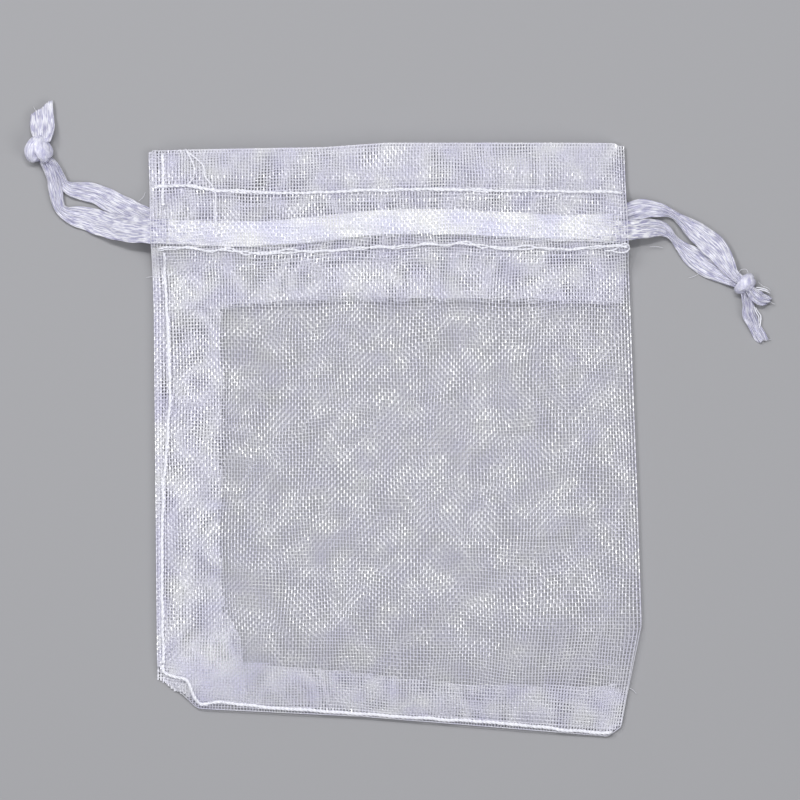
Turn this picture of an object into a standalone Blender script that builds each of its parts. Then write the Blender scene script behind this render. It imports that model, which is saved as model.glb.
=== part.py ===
"""Drawstring gift pouch: a sheer organza bag with two satin drawstring ribbons, lying flat on its back.

Metres, +Z up. The origin is on the resting surface, under the middle of the pouch. +X runs from the sewn
side to the folded side, +Y from the bottom seam to the mouth. Cloth layers are thin flat plates stacked one
LAYER_PITCH apart, so that touching layers keep a small gap, and stitching rows and folds are narrow walls
that close the spaces between the layers.
"""

import math

import bmesh
import bpy
from mathutils import Vector

# Cloth stack
SHEET = 0.0002  # thickness of one cloth or ribbon layer
GAP = 0.0003  # clearance between layers that touch
LAYER_PITCH = SHEET + GAP
LAYERS = (
    "back_panel",
    "left_ribbon_back",
    "right_ribbon_back",
    "back_facing",
    "back_allowance",
    "front_allowance",
    "front_facing",
    "right_ribbon_front",
    "left_ribbon_front",
    "front_panel",
)
WALL = 0.0004  # width of a stitching row or of a folded edge

# Pouch outline, anticlockwise from the lower left: x, y and corner radius
OUTLINE = (
    (-0.0300, -0.0408, 0.0020),
    (-0.0050, -0.0420, 0.0),
    (0.0325, -0.0450, 0.0008),
    (0.0344, -0.0436, 0.0006),
    (0.0353, -0.0388, 0.0),
    (0.0375, -0.0280, 0.0050),
    (0.0368, -0.0070, 0.0),
    (0.0355, 0.0270, 0.0),
    (0.0348, 0.0451, 0.0004),
    (-0.0010, 0.0451, 0.0),
    (-0.0110, 0.0444, 0.0),
    (-0.0374, 0.0440, 0.0008),
    (-0.0366, 0.0200, 0.0),
    (-0.0361, -0.0350, 0.0025),
)

# Hem and drawstring channel
HEM_LOWER_Y = 0.0212  # free edge of the turned-in hem
FACING_LEFT_X = -0.0334
FACING_RIGHT_X = 0.0334
MOUTH_LEFT_Y = 0.0438  # top of the hem at its left end
MOUTH_RIGHT_Y = 0.0447
CHANNEL_UPPER_Y = 0.0378
CHANNEL_LOWER_Y = 0.0286
CHANNEL_STITCH_X = (-0.0334, 0.0334)

# Seams and their allowances
SIDE_SEAM_X = -0.0351
SIDE_SEAM_BOTTOM_Y = -0.0338
SIDE_SEAM_TOP_Y = 0.0432
EXIT_LOWER_Y = 0.0284  # the side seam and the fold stay open here for the ribbons
EXIT_UPPER_Y = 0.0356
SIDE_ALLOWANCE = (
    (-0.0344, -0.0325),
    (-0.0269, -0.0325),
    (-0.0269, 0.0360),
    (-0.0275, 0.0390),
    (-0.0310, 0.0432),
    (-0.0344, 0.0432),
)
BOTTOM_ALLOWANCE = (
    (-0.0292, -0.0388),
    (0.0312, -0.0433),
    (0.0340, -0.0383),
    (-0.0292, -0.0332),
)
BOTTOM_SEAM = (
    (-0.0349, -0.0346),
    (-0.0317, -0.0361),
    (-0.0306, -0.0373),
    (-0.0298, -0.0396),
    (-0.0098, -0.0411),
    (0.0324, -0.0443),
)
FOLD_LOWER = (
    (0.0338, -0.0434),
    (0.0348, -0.0387),
    (0.0370, -0.0280),
    (0.0363, -0.0070),
    (0.0352, 0.0250),
    (0.0352, EXIT_LOWER_Y),
)
FOLD_UPPER = ((0.0349, EXIT_UPPER_Y), (0.0345, 0.0444))

# Ribbons
RIBBON_WIDTH = 0.0038
LEFT_RIBBON_Y = 0.0327  # middle of the ribbon that is pulled from the left
RIGHT_RIBBON_Y = 0.0311
STRAND_END_X = 0.0330  # where a strand meets its turn inside the channel
LEFT_EXIT_X = -0.0369
RIGHT_EXIT_X = 0.0355
BIGHT_WIDTH = 0.0012  # the ribbon bunches where it turns round inside the channel
LEFT_BIGHT_X = 0.0345
RIGHT_BIGHT_X = -0.0348

# Free loops: x, y, z of the middle of the ribbon and its width, from the exit to the knot
LEFT_LOOP_BACK = (
    (-0.0372, 0.0341, 0.0006, 0.0034),
    (-0.0391, 0.0349, 0.0006, 0.0034),
    (-0.0411, 0.0355, 0.0006, 0.0034),
    (-0.0435, 0.0366, 0.0006, 0.0032),
    (-0.0453, 0.0375, 0.0006, 0.0030),
    (-0.0478, 0.0380, 0.0007, 0.0025),
    (-0.0493, 0.0386, 0.0009, 0.0017),
    (-0.0503, 0.0397, 0.0010, 0.0011),
    (-0.0510, 0.0409, 0.0011, 0.0009),
    (-0.0517, 0.0419, 0.0012, 0.0009),
)
LEFT_LOOP_FRONT = (
    (-0.0372, 0.0317, 0.0041, 0.0038),
    (-0.0398, 0.0320, 0.0033, 0.0038),
    (-0.0423, 0.0324, 0.0022, 0.0038),
    (-0.0448, 0.0330, 0.0012, 0.0037),
    (-0.0473, 0.0339, 0.0006, 0.0034),
    (-0.0491, 0.0342, 0.0006, 0.0028),
    (-0.0505, 0.0351, 0.0006, 0.0022),
    (-0.0514, 0.0364, 0.0006, 0.0019),
    (-0.0519, 0.0379, 0.0008, 0.0018),
    (-0.0526, 0.0400, 0.0010, 0.0015),
    (-0.0533, 0.0416, 0.0012, 0.0013),
)
RIGHT_LOOP_BACK = (
    (0.0358, 0.0342, 0.0011, 0.0030),
    (0.0367, 0.0346, 0.0011, 0.0030),
    (0.0379, 0.0351, 0.0010, 0.0028),
    (0.0395, 0.0351, 0.0010, 0.0022),
    (0.0412, 0.0347, 0.0012, 0.0014),
    (0.0429, 0.0336, 0.0015, 0.0016),
    (0.0447, 0.0323, 0.0016, 0.0024),
    (0.0465, 0.0309, 0.0016, 0.0032),
    (0.0482, 0.0294, 0.0016, 0.0035),
    (0.0495, 0.0276, 0.0016, 0.0033),
    (0.0506, 0.0261, 0.0016, 0.0024),
    (0.0514, 0.0250, 0.0016, 0.0014),
)
RIGHT_LOOP_FRONT = (
    (0.0358, 0.0315, 0.0036, 0.0029),
    (0.0374, 0.0320, 0.0032, 0.0028),
    (0.0398, 0.0322, 0.0022, 0.0025),
    (0.0414, 0.0316, 0.0014, 0.0020),
    (0.0427, 0.0304, 0.0009, 0.0014),
    (0.0438, 0.0290, 0.0006, 0.0020),
    (0.0450, 0.0277, 0.0006, 0.0028),
    (0.0467, 0.0265, 0.0006, 0.0029),
    (0.0485, 0.0255, 0.0006, 0.0024),
    (0.0500, 0.0248, 0.0008, 0.0015),
    (0.0509, 0.0241, 0.0010, 0.0011),
)

# Knots: centre and the lengths of the three axes
LEFT_KNOT = ((-0.0539, 0.0440, 0.0019), (0.0046, 0.0040, 0.0036))
RIGHT_KNOT = ((0.0531, 0.0237, 0.0018), (0.0038, 0.0032, 0.0032))

# Ribbon ends beyond the knots: x, y, z of the middle and the width, from the knot to the cut
LEFT_TAIL_OVER = (
    (-0.0534, 0.0465, 0.0019, 0.0033),
    (-0.0536, 0.0485, 0.0013, 0.0036),
    (-0.0536, 0.0506, 0.0010, 0.0034),
)
LEFT_TAIL_UNDER = (
    (-0.0536, 0.0464, 0.0010, 0.0028),
    (-0.0538, 0.0480, 0.0006, 0.0032),
    (-0.0540, 0.0495, 0.0004, 0.0032),
)
RIGHT_TAIL_LONG = (
    (0.0532, 0.0216, 0.0012, 0.0016),
    (0.0536, 0.0196, 0.0008, 0.0017),
    (0.0543, 0.0176, 0.0006, 0.0018),
    (0.0560, 0.0155, 0.0005, 0.0018),
)
RIGHT_TAIL_SHORT = (
    (0.0548, 0.0222, 0.0018, 0.0018),
    (0.0558, 0.0216, 0.0014, 0.0024),
    (0.0570, 0.0212, 0.0010, 0.0012),
)
TAIL_SLANT = 0.0009  # how far one corner of a cut ribbon end stands ahead of the middle

# Motion
MOUTH_AXIS_Y = -0.0454  # the front lifts about the outer edge of the bottom seam
MOUTH_AXIS_Z = 0.0046

ROUTE_STEPS = 3  # rings made between two points of a route
CORNER_STEPS = 5  # points made along a rounded corner
KNOT_SEGMENTS = 16  # faces round a knot
KNOT_RINGS = 10  # rows of faces from end to end of a knot
PIVOT_SIZE = 0.005  # drawn size of the empties on the joints' axes


def clear_scene():
    for old in list(bpy.data.objects):
        bpy.data.objects.remove(old, do_unlink=True)


def cloth_material(name, colour, roughness):
    material = bpy.data.materials.new(name)
    material.use_nodes = True
    shader = material.node_tree.nodes["Principled BSDF"]
    shader.inputs["Base Color"].default_value = (*colour, 1.0)
    shader.inputs["Roughness"].default_value = roughness
    shader.inputs["Metallic"].default_value = 0.0
    material.diffuse_color = (*colour, 1.0)
    return material


def layer_z(layer):
    """Height of the underside of a layer."""
    return LAYERS.index(layer) * LAYER_PITCH


def layer_middle(layer):
    return layer_z(layer) + SHEET / 2


def between(lower, upper):
    """Lowest and highest z of a wall that fills the space between two layers, clear of both."""
    return layer_z(lower) + LAYER_PITCH, layer_z(upper) - GAP


def rounded(corners):
    """Outline through the corners, each with a radius cut back along both sides by a smooth arc."""
    points = []
    count = len(corners)
    for index, (x, y, radius) in enumerate(corners):
        corner = Vector((x, y))
        if radius == 0.0:
            points.append(corner)
            continue
        before = Vector(corners[index - 1][:2]) - corner
        after = Vector(corners[(index + 1) % count][:2]) - corner
        half_angle = before.angle(after) / 2
        cut = radius / math.tan(half_angle)
        start = corner + before.normalized() * cut
        end = corner + after.normalized() * cut
        for step in range(CORNER_STEPS + 1):
            t = step / CORNER_STEPS
            points.append(start * (1 - t) ** 2 + corner * 2 * t * (1 - t) + end * t**2)
    return points


def smooth_route(route):
    """Rows of a route joined by a curve that passes through each of them (Catmull-Rom)."""
    rows = [Vector(row) for row in route]
    rows = [rows[0] * 2 - rows[1]] + rows + [rows[-1] * 2 - rows[-2]]
    made = []
    for a, b, c, d in zip(rows, rows[1:], rows[2:], rows[3:]):
        for step in range(ROUTE_STEPS):
            t = step / ROUTE_STEPS
            level, slope = 2 * b, c - a
            bend = 2 * a - 5 * b + 4 * c - d
            twist = 3 * b - a - 3 * c + d
            made.append((level + slope * t + bend * t**2 + twist * t**3) / 2)
    made.append(rows[-2])
    return made


def strip_outline(path, width):
    """Closed outline of a strip of this width along a flat path."""
    left, right = [], []
    for index, point in enumerate(path):
        ahead = path[min(index + 1, len(path) - 1)]
        behind = path[max(index - 1, 0)]
        along = (ahead - behind).normalized()
        side = Vector((-along.y, along.x)) * width / 2
        left.append(point + side)
        right.append(point - side)
    return left + right[::-1]


def loft(name, rings, material, parent=None):
    """Closed solid through equal rings of points, capped at both ends."""
    mesh = bpy.data.meshes.new(name)
    shape = bmesh.new()
    made = [[shape.verts.new(point) for point in ring] for ring in rings]
    size = len(rings[0])
    for first, second in zip(made, made[1:]):
        for k in range(size):
            n = (k + 1) % size
            shape.faces.new((first[k], first[n], second[n], second[k]))
    shape.faces.new(made[0][::-1])
    shape.faces.new(made[-1])
    bmesh.ops.recalc_face_normals(shape, faces=shape.faces)
    shape.to_mesh(mesh)
    shape.free()
    return place(name, mesh, material, parent)


def place(name, mesh, material, parent):
    mesh.materials.append(material)
    obj = bpy.data.objects.new(name, mesh)
    bpy.context.scene.collection.objects.link(obj)
    if parent is not None:
        obj.parent = parent
        obj.matrix_parent_inverse = parent.matrix_world.inverted()
    return obj


def plate(name, outline, layer, material, parent=None):
    """Flat sheet of one layer with this outline."""
    low = layer_z(layer)
    rings = [[(p[0], p[1], z) for p in outline] for z in (low, low + SHEET)]
    return loft(name, rings, material, parent)


def wall(name, path, heights, material, parent=None):
    """Narrow upright wall along a flat path."""
    outline = strip_outline([Vector(point) for point in path], WALL)
    rings = [[(p.x, p.y, z) for p in outline] for z in heights]
    return loft(name, rings, material, parent)


def facing(name, layer, lip_z, material, parent=None):
    """Hem facing: a flat band with the fold at the mouth turned towards its panel, up to lip_z."""
    low = layer_z(layer)
    inner, outer = (low + SHEET, low) if lip_z < low else (low, low + SHEET)
    rings = []
    for x, top in ((FACING_LEFT_X, MOUTH_LEFT_Y), (FACING_RIGHT_X, MOUTH_RIGHT_Y)):
        profile = (
            (HEM_LOWER_Y, outer),
            (top - SHEET, outer),
            (top - SHEET, lip_z),
            (top, lip_z),
            (top, inner),
            (HEM_LOWER_Y, inner),
        )
        rings.append([(x, y, z) for y, z in profile])
    return loft(name, rings, material, parent)


def strap(name, route, material, parent=None, slant=0.0):
    """Ribbon lying face up along a route of x, y, z and width; slant skews the cut at its far end."""
    rows = smooth_route(route)
    rings = []
    for index, row in enumerate(rows):
        ahead = rows[min(index + 1, len(rows) - 1)]
        behind = rows[max(index - 1, 0)]
        along = Vector((ahead[0] - behind[0], ahead[1] - behind[1])).normalized()
        side = Vector((-along.y, along.x)) * row[3] / 2
        skew = along * slant if index == len(rows) - 1 else Vector((0.0, 0.0))
        ring = []
        for sign, z in ((1, SHEET / 2), (-1, SHEET / 2), (-1, -SHEET / 2), (1, -SHEET / 2)):
            ring.append((row[0] + sign * (side.x - skew.x), row[1] + sign * (side.y - skew.y), row[2] + z))
        rings.append(ring)
    return loft(name, rings, material, parent)


def channel_strand(name, layer, y, start_x, end_x, material, parent):
    """Straight stretch of ribbon inside the drawstring channel."""
    middle = layer_middle(layer)
    ends = [Vector((x, y, middle, RIBBON_WIDTH)) for x in (start_x, end_x)]
    return strap(name, ends, material, parent)


def bight(name, lower, upper, y_low, start_x, turn_x, material):
    """The ribbon's turn at the end of the channel: a C seen from the mouth, from one layer to another."""
    low, high = layer_middle(lower), layer_middle(upper)
    depth = (turn_x - start_x) / 2
    path = [
        Vector((start_x, low)),
        Vector((start_x + depth, low)),
        Vector((turn_x, low + abs(depth))),
        Vector((turn_x, high - abs(depth))),
        Vector((start_x + depth, high)),
        Vector((start_x, high)),
    ]
    outline = strip_outline(path, SHEET)
    rings = [[(p.x, y, p.y) for p in outline] for y in (y_low, y_low + BIGHT_WIDTH)]
    return loft(name, rings, material)


def knot(name, centre, axes, material, parent):
    """Tight overhand knot as a smooth ball with three axes."""
    mesh = bpy.data.meshes.new(name)
    shape = bmesh.new()
    bmesh.ops.create_uvsphere(shape, u_segments=KNOT_SEGMENTS, v_segments=KNOT_RINGS, radius=0.5)
    for vert in shape.verts:
        vert.co = Vector(c + v * a for c, v, a in zip(centre, vert.co, axes))
    shape.to_mesh(mesh)
    shape.free()
    mesh.shade_smooth()
    return place(name, mesh, material, parent)


def pivot(name, location, parent=None):
    """Empty on a joint's axis; the pieces that it moves are its children."""
    empty = bpy.data.objects.new(name, None)
    empty.empty_display_size = PIVOT_SIZE
    bpy.context.scene.collection.objects.link(empty)
    empty.location = location
    if parent is not None:
        empty.parent = parent
        empty.location = Vector(location) - parent.location
    bpy.context.view_layer.update()
    return empty


def build_back(organza, thread):
    """Everything that stays with the back panel: fold, hem, seam allowances and seams."""
    outline = rounded(OUTLINE)
    inside = between("back_panel", "front_panel")
    plate("back_panel", outline, "back_panel", organza)
    wall("right_fold_lower", FOLD_LOWER, inside, organza)
    wall("right_fold_upper", FOLD_UPPER, inside, organza)
    facing("back_hem_facing", "back_facing", layer_z("back_panel") + LAYER_PITCH, organza)
    for side in ("back", "front"):
        plate(f"side_allowance_{side}", SIDE_ALLOWANCE, f"{side}_allowance", organza)
        plate(f"bottom_allowance_{side}", BOTTOM_ALLOWANCE, f"{side}_allowance", organza)
    lower = ((SIDE_SEAM_X, SIDE_SEAM_BOTTOM_Y), (SIDE_SEAM_X, EXIT_LOWER_Y))
    upper = ((SIDE_SEAM_X, EXIT_UPPER_Y), (SIDE_SEAM_X, SIDE_SEAM_TOP_Y))
    wall("side_seam_stitching_lower", lower, inside, thread)
    wall("side_seam_stitching_upper", upper, inside, thread)
    wall("bottom_seam_stitching", BOTTOM_SEAM, inside, thread)
    channel_stitching("back", between("back_panel", "back_facing"), thread, None)


def build_front(organza, thread, hinge):
    """The front panel with its turned-in hem, lifting about the bottom seam."""
    plate("front_panel", rounded(OUTLINE), "front_panel", organza, hinge)
    facing("front_hem_facing", "front_facing", layer_z("front_panel") - GAP, organza, hinge)
    channel_stitching("front", between("front_facing", "front_panel"), thread, hinge)


def channel_stitching(side, heights, thread, parent):
    for level, y in (("upper", CHANNEL_UPPER_Y), ("lower", CHANNEL_LOWER_Y)):
        path = [(x, y) for x in CHANNEL_STITCH_X]
        wall(f"{side}_{level}_stitching", path, heights, thread, parent)


def build_left_ribbon(satin, pull, lift):
    """Ribbon that is pulled from the sewn side: two channel strands, free loop, knot and ends."""
    exits = (LEFT_EXIT_X, STRAND_END_X)
    channel_strand("left_ribbon_back_strand", "left_ribbon_back", LEFT_RIBBON_Y, *exits, satin, pull)
    channel_strand("left_ribbon_front_strand", "left_ribbon_front", LEFT_RIBBON_Y, *exits, satin, lift)
    y_low = LEFT_RIBBON_Y + RIBBON_WIDTH / 2 - BIGHT_WIDTH
    start = STRAND_END_X + GAP
    bight("left_ribbon_bight", "left_ribbon_back", "left_ribbon_front", y_low, start, LEFT_BIGHT_X, satin)
    strap("left_loop_back_strand", LEFT_LOOP_BACK, satin, pull)
    strap("left_loop_front_strand", LEFT_LOOP_FRONT, satin, pull)
    knot("left_knot", *LEFT_KNOT, satin, pull)
    strap("left_tail_over", LEFT_TAIL_OVER, satin, pull, -TAIL_SLANT)
    strap("left_tail_under", LEFT_TAIL_UNDER, satin, pull, -TAIL_SLANT)


def build_right_ribbon(satin, pull, lift):
    """Ribbon that is pulled from the folded side."""
    exits = (-STRAND_END_X, RIGHT_EXIT_X)
    channel_strand("right_ribbon_back_strand", "right_ribbon_back", RIGHT_RIBBON_Y, *exits, satin, pull)
    channel_strand("right_ribbon_front_strand", "right_ribbon_front", RIGHT_RIBBON_Y, *exits, satin, lift)
    y_low = RIGHT_RIBBON_Y - RIBBON_WIDTH / 2
    start = -STRAND_END_X - GAP
    bight("right_ribbon_bight", "right_ribbon_back", "right_ribbon_front", y_low, start, RIGHT_BIGHT_X, satin)
    strap("right_loop_back_strand", RIGHT_LOOP_BACK, satin, pull)
    strap("right_loop_front_strand", RIGHT_LOOP_FRONT, satin, pull)
    knot("right_knot", *RIGHT_KNOT, satin, pull)
    strap("right_tail_long", RIGHT_TAIL_LONG, satin, pull, TAIL_SLANT / 2)
    strap("right_tail_short", RIGHT_TAIL_SHORT, satin, pull)


def build():
    clear_scene()
    organza = cloth_material("organza", (0.80, 0.80, 0.86), 0.45)
    satin = cloth_material("satin_ribbon", (0.84, 0.84, 0.93), 0.30)
    thread = cloth_material("sewing_thread", (0.82, 0.82, 0.90), 0.50)
    mouth_axis = (0.0, MOUTH_AXIS_Y, MOUTH_AXIS_Z)
    mouth = pivot("mouth_hinge", mouth_axis)
    left_pull = pivot("left_pull_slide", (LEFT_EXIT_X, LEFT_RIBBON_Y, layer_middle("left_ribbon_back")))
    right_pull = pivot("right_pull_slide", (RIGHT_EXIT_X, RIGHT_RIBBON_Y, layer_middle("right_ribbon_back")))
    left_lift = pivot("left_strand_hinge", mouth_axis, left_pull)
    right_lift = pivot("right_strand_hinge", mouth_axis, right_pull)
    build_back(organza, thread)
    build_front(organza, thread, mouth)
    build_left_ribbon(satin, left_pull, left_lift)
    build_right_ribbon(satin, right_pull, right_lift)


build()
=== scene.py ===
"""Drawstring gift pouch: sheer white organza with two satin drawstring ribbons, lying flat on its back.

Metres, +Z up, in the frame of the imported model: +X from the sewn side to the folded side, +Y from the
bottom seam to the mouth. Every cloth layer is woven from its own yarns, every ribbon is a thin band carried
along its route, and every row of stitches is a run of twisted thread.
"""

import math

import bpy
import numpy as np
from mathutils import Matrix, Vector


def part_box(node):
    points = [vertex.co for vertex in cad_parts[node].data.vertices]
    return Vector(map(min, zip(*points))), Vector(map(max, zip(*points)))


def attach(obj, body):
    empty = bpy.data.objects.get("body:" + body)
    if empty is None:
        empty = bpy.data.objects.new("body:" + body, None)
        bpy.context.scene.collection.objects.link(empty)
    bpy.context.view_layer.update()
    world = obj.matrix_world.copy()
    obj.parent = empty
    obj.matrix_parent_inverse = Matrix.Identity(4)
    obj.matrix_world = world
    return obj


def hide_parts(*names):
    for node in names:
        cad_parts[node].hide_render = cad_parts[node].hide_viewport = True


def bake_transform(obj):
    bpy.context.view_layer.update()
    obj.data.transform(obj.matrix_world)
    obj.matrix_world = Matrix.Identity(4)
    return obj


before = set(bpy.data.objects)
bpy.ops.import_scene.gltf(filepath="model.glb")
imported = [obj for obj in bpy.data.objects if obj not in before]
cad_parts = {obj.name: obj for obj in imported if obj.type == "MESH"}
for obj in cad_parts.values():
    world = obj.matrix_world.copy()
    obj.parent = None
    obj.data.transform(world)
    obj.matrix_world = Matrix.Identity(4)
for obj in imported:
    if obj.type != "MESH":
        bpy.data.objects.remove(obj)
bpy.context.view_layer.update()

# Organza: plain weave of bright filament yarns. The warp runs lengthwise, the weft from side to side
WARP_PITCH = 0.000455  # from one yarn to the next
WEFT_PITCH = 0.000500
WARP_WIDTH = 0.000164
WEFT_WIDTH = 0.000103
YARN_DEPTH = 0.000085
YARN_SOLID = 0.46  # share of light that one side of a yarn stops
TURNED_SOLID = 0.84  # the same for cloth turned inside, where the yarns lie drawn together
CRIMP = 0.000045  # how far a yarn rises and sinks where it passes over and under
RIM_RADIUS = 0.00007  # yarn along a folded edge

# Ribbon
RIBBON_WIDTH = 0.0038
RIBBON_THICK = 0.00012
PLEAT_LIMIT = 0.00045  # half the height of the deepest pleat
PLEAT_SWING = 450  # how far the pleats wander from side to side, in radians per metre of ribbon
END_REACH = 0.0012  # the last stretch of a cut end, which is drawn out to its slant

# Thread
STITCH_LENGTH = 0.0023
STITCH_RADIUS = 0.000165
STITCH_BOW = 0.00009  # how far a stitch stands up between its two needle holes
SEAM_STITCH = 0.0018
SEAM_RADIUS = 0.000190

# Where the pouch is closed
SIDE_SEAM_X = -0.0351
BOTTOM_LEFT, BOTTOM_RIGHT = -0.0295, 0.0322  # the bottom edge runs straight between these
BOTTOM_SLOPE = -0.060
LOWEST_LEFT, LOWEST_RIGHT = -0.0345, -0.0434  # and the two sides between these
HIGHEST_LEFT, HIGHEST_RIGHT = 0.0430, 0.0445
EXIT_Y = 0.0320  # middle of the openings that the ribbons come out of
EXIT_SPAN = 0.0048
CHANNEL_ROWS = (0.0379, 0.0287)
ROW_SPREAD = 0.0012  # how far to either side a row of stitches draws the cloth in
ROW_PULL = 0.35  # share of the way to the other layer that it draws it
SHEET = 0.0002  # thickness of a modelled layer
FLOOR_CLEAR = 0.00012
FOLD_ROUND = 0.0006  # width of the rounded part along a folded edge

# Share of its height that the pouch loses at each edge, and the distances over which that fades, from the
# edge outwards and inwards where both count
SEAM_PINCH, SEAM_OUT, SEAM_IN = 0.78, 0.014, 0.004
FOLD_PINCH, FOLD_IN = 0.74, 0.0032
BOTTOM_PINCH, BOTTOM_OUT, BOTTOM_IN = 0.76, 0.014, 0.0042
MOUTH_PINCH, MOUTH_IN = 0.12, 0.003
BOTTOM_STITCHED = 0.0010  # from the bottom edge to its stitching
EXIT_HELD = 0.97  # share of the side pinch that the ribbons take away at their exits
LEAST_HEIGHT = 0.20
RIPPLES = ((41, 0.00012, 0.012), (43, 0.00005, 0.005))  # of the front cloth: seed, height and length

# How the yarns follow the edges and drift
RIGHT_X = 0.0362
LEFT_X = -0.0366
TOP_Y = 0.0446
BOTTOM_Y = -0.0431
EDGE_REACH = 0.013
EDGE_CALM = 0.0016  # strip along an edge where the yarns lie even
EDGE_INSET = 0.0001  # outermost yarn to the edge
SEAM_ROLL = 0.0011  # width of the strip outside the side seam, where the cloth lies close
UNEVEN = 0.000012
DRIFT = (0.00015, 0.00019)  # sideways and lengthwise
DRIFT_SPAN = 0.0115

# Camera
CAMERA_HEIGHT = 0.9
VIEW_WIDTH = 0.1212
VIEW_MIDDLE = (0.0008, 0.0061)
PANEL_TOP = 0.003  # height at which the view is measured

# Free edge of the turned-in hem: x, y
HEM_EDGE = (
    (-0.0348, 0.0197), (-0.0260, 0.0201), (-0.0200, 0.0209), (-0.0080, 0.0215), (0.0110, 0.0215),
    (0.0310, 0.0209), (0.0352, 0.0207),
)

# Outlines of the seam allowances: x, y
SIDE_ALLOWANCE = (
    (-0.0366, -0.0360), (-0.0330, -0.0385), (-0.0245, -0.0392), (-0.0235, -0.0345), (-0.0262, -0.0270),
    (-0.0268, -0.0120), (-0.0264, 0.0100), (-0.0268, 0.0310), (-0.0274, 0.0372), (-0.0310, 0.0438),
    (-0.0372, 0.0436), (-0.0366, 0.0200),
)
BOTTOM_ALLOWANCE = (
    (-0.0340, -0.0372), (-0.0300, -0.0402), (-0.0050, -0.0415), (0.0322, -0.0446), (0.0340, -0.0436),
    (0.0349, -0.0390), (0.0330, -0.0374), (0.0120, -0.0372), (-0.0080, -0.0352), (-0.0290, -0.0332),
    (-0.0340, -0.0325),
)

# Stitching routes: x, y
SIDE_SEAM_LOWER = (
    (-0.0350, 0.0284), (-0.0348, 0.0227), (-0.0343, 0.0150), (-0.0341, 0.0060), (-0.0347, -0.0020),
    (-0.0352, -0.0090), (-0.0353, -0.0200), (-0.0352, -0.0300), (-0.0351, -0.0339),
)
SIDE_SEAM_UPPER = ((-0.0352, 0.0434), (-0.0350, 0.0405), (-0.0352, 0.0380), (-0.0351, 0.0356))
BOTTOM_SEAM = (
    (-0.0352, -0.0341), (-0.0351, -0.0351), (-0.0345, -0.0355), (-0.0332, -0.0359), (-0.0320, -0.0361),
    (-0.0314, -0.0365), (-0.0310, -0.0373), (-0.0307, -0.0383), (-0.0301, -0.0394), (-0.0295, -0.0400),
    (-0.0287, -0.0400), (-0.0269, -0.0397), (-0.0247, -0.0399), (-0.0201, -0.0405), (-0.0170, -0.0407),
    (-0.0098, -0.0412), (0.0020, -0.0420), (0.0140, -0.0428), (0.0240, -0.0437), (0.0311, -0.0444),
    (0.0330, -0.0443),
)
FRONT_UPPER_ROW = (
    (-0.0365, 0.0384), (-0.0348, 0.0386), (-0.0310, 0.0385), (-0.0270, 0.0378), (-0.0230, 0.0377),
    (-0.0170, 0.0374), (-0.0090, 0.0376), (-0.0010, 0.0379), (0.0026, 0.0380), (0.0150, 0.0378),
    (0.0240, 0.0377), (0.0345, 0.0375),
)
FRONT_LOWER_ROW = (
    (-0.0358, 0.0291), (-0.0330, 0.0292), (-0.0300, 0.0290), (-0.0260, 0.0286), (-0.0215, 0.0283),
    (-0.0180, 0.0285), (-0.0140, 0.0284), (-0.0090, 0.0288), (-0.0020, 0.0292), (0.0060, 0.0297),
    (0.0110, 0.0295), (0.0170, 0.0291), (0.0250, 0.0289), (0.0300, 0.0292), (0.0352, 0.0294),
)
BACK_UPPER_ROW = (
    (-0.0340, 0.0368), (-0.0300, 0.0360), (-0.0245, 0.0355), (-0.0170, 0.0358), (-0.0020, 0.0364),
    (0.0070, 0.0367), (0.0170, 0.0370), (0.0340, 0.0373),
)
BACK_LOWER_ROW = (
    (-0.0350, 0.0253), (-0.0300, 0.0256), (-0.0260, 0.0261), (-0.0170, 0.0273), (-0.0040, 0.0279),
    (0.0085, 0.0283), (0.0220, 0.0280), (0.0345, 0.0283),
)

# Middle of the ribbons inside the channel: x, y
CHANNEL_LINE = (
    (-0.0372, 0.0317), (-0.0340, 0.0316), (-0.0270, 0.0313), (-0.0190, 0.0314), (-0.0090, 0.0323),
    (-0.0020, 0.0330), (0.0070, 0.0331), (0.0170, 0.0327), (0.0250, 0.0323), (0.0358, 0.0325),
)

# Free loops: x, y, z of the middle of the ribbon and its width, from the exit to the knot
LEFT_LOOP_BACK = (
    (-0.0345, 0.0324, 0.0006, 0.0037), (-0.0372, 0.0333, 0.0006, 0.0036),
    (-0.0391, 0.0342, 0.0006, 0.0036), (-0.0409, 0.0351, 0.0006, 0.0036),
    (-0.0435, 0.0365, 0.0006, 0.0034), (-0.0456, 0.0375, 0.0006, 0.0031),
    (-0.0479, 0.0379, 0.0007, 0.0027), (-0.0493, 0.0382, 0.0009, 0.0021),
    (-0.0502, 0.0389, 0.0010, 0.0016), (-0.0506, 0.0399, 0.0011, 0.0012),
    (-0.0512, 0.0411, 0.0012, 0.0011), (-0.0519, 0.0421, 0.0013, 0.0011),
)
LEFT_LOOP_FRONT = (
    (-0.0345, 0.0316, 0.0041, 0.0038), (-0.0372, 0.0317, 0.0041, 0.0038),
    (-0.0398, 0.0319, 0.0033, 0.0038), (-0.0423, 0.0323, 0.0022, 0.0038),
    (-0.0445, 0.0329, 0.0012, 0.0038), (-0.0466, 0.0336, 0.0006, 0.0036),
    (-0.0488, 0.0341, 0.0006, 0.0029), (-0.0500, 0.0345, 0.0007, 0.0021),
    (-0.0508, 0.0352, 0.0008, 0.0017), (-0.0512, 0.0363, 0.0008, 0.0019),
    (-0.0515, 0.0379, 0.0009, 0.0021), (-0.0519, 0.0398, 0.0011, 0.0020),
    (-0.0525, 0.0415, 0.0013, 0.0020),
)
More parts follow.
